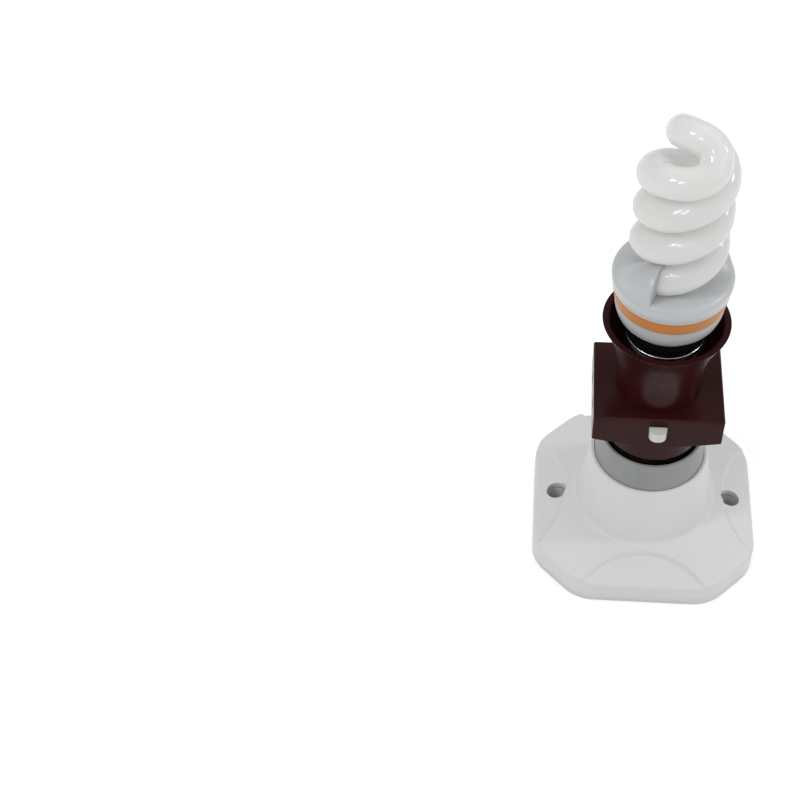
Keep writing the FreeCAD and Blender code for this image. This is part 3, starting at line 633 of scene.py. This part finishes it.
def cover_height(r):
    """Height of the cover's plain top: nearly flat, then a rounded shoulder."""
    flat = COVER_TOP - (COVER_TOP - FLAT_Z) * (np.clip(r, 0, FLAT_R) / FLAT_R) ** 2
    t = np.clip((r - FLAT_R) / (COVER_R - FLAT_R), 0, 1)
    return flat - (FLAT_Z - COVER_Z) * (1 - np.sqrt(1 - t * t))


def sleeve_height(x, y):
    """Top of the raised sleeve that a tube's end sits in, cut square where the tube comes out."""
    share = np.linspace(0, 1, 180)
    line = coil_line(-COIL_SWEEP - share * SLEEVE_DEG)
    line[:, 2] -= SLEEVE_DROP * share ** 1.5
    best = np.full(x.shape, NO_SLEEVE)
    for px, py, pz in line:
        d2 = (x - px) ** 2 + (y - py) ** 2
        dome = pz + np.sqrt(np.clip(SLEEVE_R ** 2 - d2, 0, None))
        best = np.maximum(best, np.where(d2 < SLEEVE_R ** 2, dome, NO_SLEEVE))
    mouth, further = coil_line(np.array([-COIL_SWEEP, -COIL_SWEEP + 0.5]))
    along = further - mouth
    ahead = (x - mouth[0]) * along[0] + (y - mouth[1]) * along[1]
    return np.where(ahead > 0, NO_SLEEVE, best)


def cover_with_sleeves(x, y):
    """Top of the cover with both sleeves blended into it, and the rim left plain."""
    r = np.hypot(x, y)
    plain = cover_height(r)
    top = plain.copy()
    for turn in (1, -1):
        px, py = turn * (x - COIL_X), turn * y
        far = np.hypot(px, py)
        drawn_out = (COIL_R + (far - COIL_R) * SLEEVE_STRETCH) / np.maximum(far, 1)
        scale = np.where(far > COIL_R, drawn_out, 1.0)
        raised = sleeve_height(COIL_X + px * scale, py * scale)
        h = np.clip(0.5 + 0.5 * (raised - top) / SLEEVE_BLEND, 0, 1)
        blended = top * (1 - h) + raised * h + SLEEVE_BLEND * h * (1 - h)
        top = np.where(raised > NO_SLEEVE, blended, top)
    return plain + (top - plain) * smooth_step((COVER_R - r) / PLAIN_RIM)


def lamp_cover():
    """Upper housing: the sleeved top, a straight side, a shadow groove and the lip into the ring."""
    ends = [math.radians(-90 - COIL_SWEEP % 360 + half) for half in (0, 180)]
    extra = [end + d for end in ends for d in (-0.004, -0.0012, 0.0012, 0.004)]
    ang = np.concatenate([np.arange(288) * TAU / 288, extra])
    ang = np.unique(np.round(np.mod(ang, TAU), 7))
    outer_band = 5.0
    radii = np.concatenate([np.linspace(0.05, COVER_R - outer_band, 40),
                            COVER_R - outer_band * (1 - np.sin(np.linspace(0, math.pi / 2, 32)[1:]))])
    r, a = np.meshgrid(radii, ang, indexing="ij")
    x, y = r * np.cos(a), r * np.sin(a)
    top = np.stack([x, y, cover_with_sleeves(x, y)], -1)
    low = RING_TOP_Z + 0.1
    side = RING_TOP_R + (COVER_R - RING_TOP_R) * SHOULDER / (COVER_Z - low)
    groove, lip_z = side - 0.12, low - 2.3
    skirt = [(COVER_R - 0.1, COVER_Z - SHOULDER), (side, low + 1.2), (groove, low + 1.05),
             (groove, low + 0.3), (side - 0.3, low), (LIP_R, low), (LIP_R, lip_z), (0.05, lip_z)]
    rings = [np.stack([r * np.cos(ang), r * np.sin(ang), np.full(len(ang), z)], -1) for r, z in skirt]
    mesh = mesh_of("lamp_cover_moulding", grid_data(np.concatenate([top, rings]), capped=True))
    finished(mesh, "lamp_cover_moulding", "lamp", "lamp_white", ["lamp_cover"], 45)


def lamp_housing():
    """Lower housing: a plug in the cap, a neck, and the bowl up to the ring."""
    top, lip_top = RING_LOW_Z - 0.1, RING_LOW_Z + LIP_H
    side = smooth_profile([(NECK_TOP_R + (BOWL_R - NECK_TOP_R) * a, NECK_TOP_Z + (top - NECK_TOP_Z) * b)
                           for a, b in BOWL_SIDE], 6)
    profile = [(0, PLUG_Z), (PLUG_R, PLUG_Z), (PLUG_R, NECK_Z), (NECK_TOP_R, NECK_Z, 0.5)] + side[:-1]
    profile += [(*side[-1], 0.3), (LIP_R, top), (LIP_R, lip_top), (0, lip_top)]
    mesh = mesh_of("lamp_housing", lathe(profile, 192, closed=False))
    housing = finished(mesh, "lamp_housing", "lamp", "lamp_white", ["lamp_shell"], 30)
    # The bowl gets a darker copy of the lamp white: painted shade, not a different plastic
    housing.data.materials[0] = plastic("bowl_painted_shade", BOWL_PAINTED_SHADE, 0.34, 0.03)


def neck_shade_sleeve():
    """Thin black sleeve round the neck, between the cap's flange and the bowl: painted shade where the white
    neck lies deep in the cup.
    """
    inner, low, high = NECK_TOP_R - 0.2, NECK_Z + 0.1, NECK_TOP_Z + 0.1
    profile = [(inner, low, 0.1), (NECK_SHADE_SLEEVE_R, low, 0.1), (NECK_SHADE_SLEEVE_R, high - 0.6),
               (NECK_TOP_R + 0.2, high), (inner, high)]
    finished(mesh_of("neck_shade_sleeve", lathe(profile, 160)), "neck_shade_sleeve", "lamp", "cap_glass")


def trim_band():
    """Orange ring, a little wider at its top."""
    inner = LIP_R + 0.1
    profile = [(inner, RING_LOW_Z), (RING_LOW_R, RING_LOW_Z, 0.3), (RING_TOP_R, RING_TOP_Z, 0.3),
               (inner, RING_TOP_Z)]
    mesh = mesh_of("trim_band", lathe(profile, 192))
    finished(mesh, "trim_band", "lamp", "orange_band", ["lamp_trim_ring"], 60)


lamp_tube()
lamp_cover()
lamp_housing()
neck_shade_sleeve()
trim_band()


# Adapter

BLOCK_X, BLOCK_Y, SEAM_Z = (span("adapter_body", axis)[1] for axis in (X, Y, Z))
LID_T, LID_BEVEL = 2.5, 0.6
CUP_RIM_Z = span("adapter_cup", Z)[1]
NECK_R, CUP_RIM_R, CUP_RIM_T = 15.5, 22.6, 2.5
CUP_SIDE = [(NECK_R, 84.0), (NECK_R + 0.05, 89.5), (15.85, 93.2), (16.5, 97.0), (17.45, 101.0),
            (18.7, 105.0), (20.3, 109.0), (21.5, 111.6), (CUP_RIM_R, CUP_RIM_Z)]
FUNNEL = [(CUP_RIM_R - CUP_RIM_T, CUP_RIM_Z, 0.9), (19.2, 112.0), (17.9, 109.4), (16.8, 106.9),
          (15.9, 104.6), (15.2, 102.8), (14.5, 101.8, 0.5)]
SHELL_SEAT_Z, SHELL_TOP_Z = UPPER_SHELL
SHELL_LIP_R, SHELL_LIP_T, SHELL_BORE_R = 13.38, 0.9, 13.75
CONTACT_BORE_R, CONTACT_FLOOR_Z = 11.65, 80.8


def lid_form():
    """Lid plate: bevels along its left and right edges, small rounds elsewhere on top."""
    x, y, top, low, bevel = (v * MM for v in (BLOCK_X, BLOCK_Y, SEAM_Z + LID_T, SEAM_Z, LID_BEVEL))
    outline = [(-x, low), (-x, top - bevel), (-x + bevel, top), (x - bevel, top), (x, top - bevel), (x, low)]
    bm = bmesh.new()
    front = [bm.verts.new((u, -y, w)) for u, w in outline]
    rear = [bm.verts.new((u, y, w)) for u, w in outline]
    bm.faces.new(front)
    bm.faces.new(rear[::-1])
    for k in range(len(outline)):
        bm.faces.new([front[k], front[k - 1], rear[k - 1], rear[k]])
    upright = [e for e in bm.edges if abs(e.verts[0].co.z - e.verts[1].co.z) > 2 * bevel]
    bmesh.ops.bevel(bm, geom=upright, offset=0.4 * MM, segments=5, profile=0.5, affect="EDGES")
    upper = [e for e in bm.edges if min(v.co.z for v in e.verts) > top - 1.01 * bevel]
    bmesh.ops.bevel(bm, geom=upper, offset=0.18 * MM, segments=2, profile=0.5, affect="EDGES")
    return bm


def adapter_cup():
    """Lid with the flared cup on it, a funnel inside and a lip over the screw shell."""
    lid_z = SEAM_Z + 0.3
    outer = [(NECK_R, lid_z), (NECK_R, 82.5)] + smooth_profile(CUP_SIDE, 5)[:-1]
    outer.append((CUP_RIM_R, CUP_RIM_Z, 0.6))
    lip_low = SHELL_TOP_Z - SHELL_LIP_T
    bore = [(SHELL_LIP_R, SHELL_TOP_Z, 0.2), (SHELL_LIP_R, lip_low), (SHELL_BORE_R, lip_low),
            (SHELL_BORE_R, SHELL_SEAT_Z), (CONTACT_BORE_R, SHELL_SEAT_Z),
            (CONTACT_BORE_R, CONTACT_FLOOR_Z), (0, CONTACT_FLOOR_Z), (0, lid_z)]
    bm = lid_form()
    add_to(bm, *lathe(outer + FUNNEL + bore, 192))
    bmesh.ops.remove_doubles(bm, verts=bm.verts, dist=2e-6)
    mesh = mesh_from("adapter_cup_moulding", bm)
    finished(mesh, "adapter_cup_moulding", "adapter", "brown_moulding", ["adapter_cup"], 35)


def push_button():
    """White bar with a half-round front end and softened edges."""
    low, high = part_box("switch_bar")
    inset, arc_steps = 0.35 * MM, 24
    nose = high.x - inset
    outline = [(high.x, high.y), (low.x, high.y)]
    for a in math.pi * (1 + np.arange(arc_steps + 1) / arc_steps):
        outline.append((nose * math.cos(a) + math.copysign(inset, math.cos(a)),
                        low.y + nose + nose * math.sin(a)))
    bm = bmesh.new()
    under = [bm.verts.new((x, y, low.z)) for x, y in outline]
    over = [bm.verts.new((x, y, high.z)) for x, y in outline]
    bm.faces.new(under[::-1])
    bm.faces.new(over)
    for k in range(len(outline)):
        bm.faces.new([under[k - 1], under[k], over[k], over[k - 1]])
    flat = [e for e in bm.edges if abs(e.verts[0].co.z - e.verts[1].co.z) < 1e-6]
    bmesh.ops.bevel(bm, geom=flat, offset=0.5 * MM, segments=4, profile=0.5, affect="EDGES")
    finished(mesh_from("push_button", bm), "push_button", "switch", "button_white", ["switch_bar"], 60)


adapter_cup()
push_button()


# Camera

CAMERA_PLACE = (-0.049886, -0.391645, 0.520154)
CAMERA_TURN = (40.8736, 1.7221, 4.6219)

cam_data = bpy.data.cameras.new("camera")
cam_data.lens = 71.539
cam_data.sensor_width = 36
cam_data.shift_x = -0.00091
cam_data.shift_y = -0.00195
cam_data.clip_start = 0.01
cam_data.clip_end = 50
camera = bpy.data.objects.new("camera", cam_data)
scene.collection.objects.link(camera)
camera.location = CAMERA_PLACE
camera.rotation_euler = [math.radians(a) for a in CAMERA_TURN]
scene.camera = camera


# Lights

SKY_STRENGTH = 0.58


def area_light(name, size, power, place, target_z):
    """Rectangular light, in metres and watts, aimed at the object's upright axis."""
    data = bpy.data.lights.new(name, "AREA")
    data.shape = "RECTANGLE"
    data.size, data.size_y = size
    data.energy = power
    obj = bpy.data.objects.new(name, data)
    scene.collection.objects.link(obj)
    obj.location = place
    aim = Vector((0, 0, target_z)) - Vector(place)
    obj.rotation_euler = aim.to_track_quat("-Z", "Y").to_euler()


area_light("key_light_a", (0.18, 0.30), 3.4, (-0.78, -0.40, 1.06), 0.14)
area_light("key_light_b", (0.13, 0.24), 1.3, (-0.56, -0.70, 1.06), 0.14)
area_light("side_light", (0.16, 0.24), 2.1, (0.86, 0.06, 0.78), 0.14)
area_light("fill_light", (0.9, 0.9), 1.5, (0.85, -0.6, 0.7), 0.08)
area_light("top_light", (0.8, 0.8), 1.6, (0.0, 0.5, 1.4), 0.05)

world = bpy.data.worlds.new("studio")
scene.world = world
world.use_nodes = True
sky = world.node_tree.nodes["Background"]
sky.inputs["Color"].default_value = (1, 1, 1, 1)
sky.inputs["Strength"].default_value = SKY_STRENGTH


# Floor

FLOOR_LIFT = 0.30


def math_node(tree, operation, first, second):
    """Maths on a socket with another socket or a plain value."""
    node = tree.nodes.new("ShaderNodeMath")
    node.operation = operation
    tree.links.new(first, node.inputs[0])
    if isinstance(second, float):
        node.inputs[1].default_value = second
    else:
        tree.links.new(second, node.inputs[1])
    return node.outputs[0]


def white_paper(name):
    """Matt paper that looks a little brighter to the eye than it lights its surroundings."""
    mat, tree, bsdf = shader(name)
    fibre = noise(tree, 900, 2)
    tint = colours(tree, fibre, [(0.3, (0.88, 0.88, 0.88)), (0.7, (0.9, 0.9, 0.9))])
    tree.links.new(tint, bsdf.inputs["Base Color"])
    bsdf.inputs["Roughness"].default_value = 0.9
    path = tree.nodes.new("ShaderNodeLightPath").outputs
    seen = math_node(tree, "MAXIMUM", path["Is Camera Ray"], path["Is Glossy Ray"])
    seen = math_node(tree, "MAXIMUM", seen, path["Is Transmission Ray"])
    glow = tree.nodes.new("ShaderNodeEmission")
    tree.links.new(math_node(tree, "MULTIPLY", seen, FLOOR_LIFT), glow.inputs["Strength"])
    both = tree.nodes.new("ShaderNodeAddShader")
    tree.links.new(bsdf.outputs[0], both.inputs[0])
    tree.links.new(glow.outputs[0], both.inputs[1])
    tree.links.new(both.outputs[0], tree.nodes["Material Output"].inputs["Surface"])
    return mat


bpy.ops.mesh.primitive_plane_add(size=6, location=(0, 0, -0.0002))
floor = bpy.context.object
floor.name = "floor"
floor.data.materials.append(white_paper("floor_paper"))

scene.view_settings.view_transform = "Standard"
